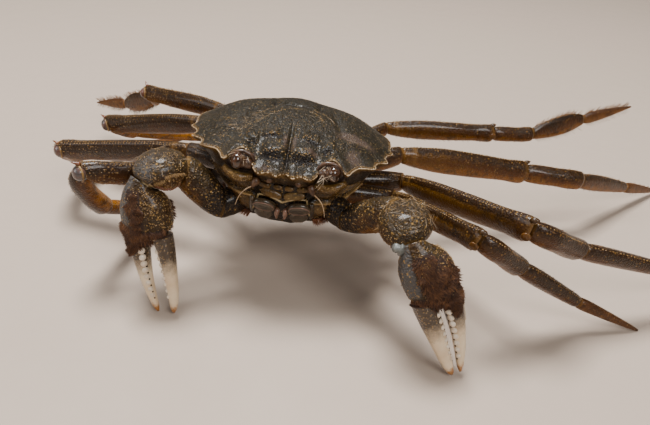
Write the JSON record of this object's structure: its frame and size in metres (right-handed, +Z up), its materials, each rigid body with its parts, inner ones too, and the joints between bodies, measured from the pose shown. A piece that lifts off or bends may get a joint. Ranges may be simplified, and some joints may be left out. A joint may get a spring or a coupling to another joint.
{
  "type": "crab model",
  "caption": "Chinese mitten crab, life-size museum-style model, standing still with both furred claws resting on the ground",
  "frame": {"origin": "middle of the bounding box in X and Y, on the floor that the claw tips and leg tips stand on", "axes": "+Z up; +X to the crab's left, along its greatest span; the crab faces -Y"},
  "size_m": [0.2248, 0.1224, 0.0482],
  "materials": {
    "carapace_shell": "satin, granular, dark olive brown",
    "leg_shell": "satin olive brown with amber undersides",
    "dactyl_shell": "satin reddish brown",
    "claw_shell": "satin, granular, with matted brown fur",
    "finger_enamel": "smooth cream enamel, amber tips",
    "belly_shell": "satin, pale yellow olive",
    "mouth_plate": "satin, pale",
    "eye_cornea": "glossy black brown",
    "feeler_shell": "matt brown"
  },
  "bodies": {
    "root": {"carapace": "carapace_shell", "thorax": "belly_shell", "abdomen": "belly_shell", "mouthpart_L": "mouth_plate", "eye_L": "eye_cornea", "antenna_L": "feeler_shell", "base_L1": "claw_shell", "merus_L1": "claw_shell", "carpus_L1": "claw_shell", "palm_L1": "claw_shell", "dactyl_L1": "finger_enamel", "base_L2": "leg_shell", "merus_L2": "leg_shell", "carpus_L2": "leg_shell", "propodus_L2": "leg_shell", "dactyl_L2": "dactyl_shell", "base_L3": "leg_shell", "merus_L3": "leg_shell", "carpus_L3": "leg_shell", "propodus_L3": "leg_shell", "dactyl_L3": "dactyl_shell", "base_L4": "leg_shell", "merus_L4": "leg_shell", "carpus_L4": "leg_shell", "propodus_L4": "leg_shell", "dactyl_L4": "dactyl_shell", "base_L5": "leg_shell", "merus_L5": "leg_shell", "carpus_L5": "leg_shell", "propodus_L5": "leg_shell", "dactyl_L5": "dactyl_shell", "mouthpart_R": "mouth_plate", "eye_R": "eye_cornea", "antenna_R": "feeler_shell", "base_R1": "claw_shell", "merus_R1": "claw_shell", "carpus_R1": "claw_shell", "palm_R1": "claw_shell", "dactyl_R1": "finger_enamel", "base_R2": "leg_shell", "merus_R2": "leg_shell", "carpus_R2": "leg_shell", "propodus_R2": "leg_shell", "dactyl_R2": "dactyl_shell", "base_R3": "leg_shell", "merus_R3": "leg_shell", "carpus_R3": "leg_shell", "propodus_R3": "leg_shell", "dactyl_R3": "dactyl_shell", "base_R4": "leg_shell", "merus_R4": "leg_shell", "carpus_R4": "leg_shell", "propodus_R4": "leg_shell", "dactyl_R4": "dactyl_shell", "base_R5": "leg_shell", "merus_R5": "leg_shell", "carpus_R5": "leg_shell", "propodus_R5": "leg_shell", "dactyl_R5": "dactyl_shell"}
  },
  "joints": []
}
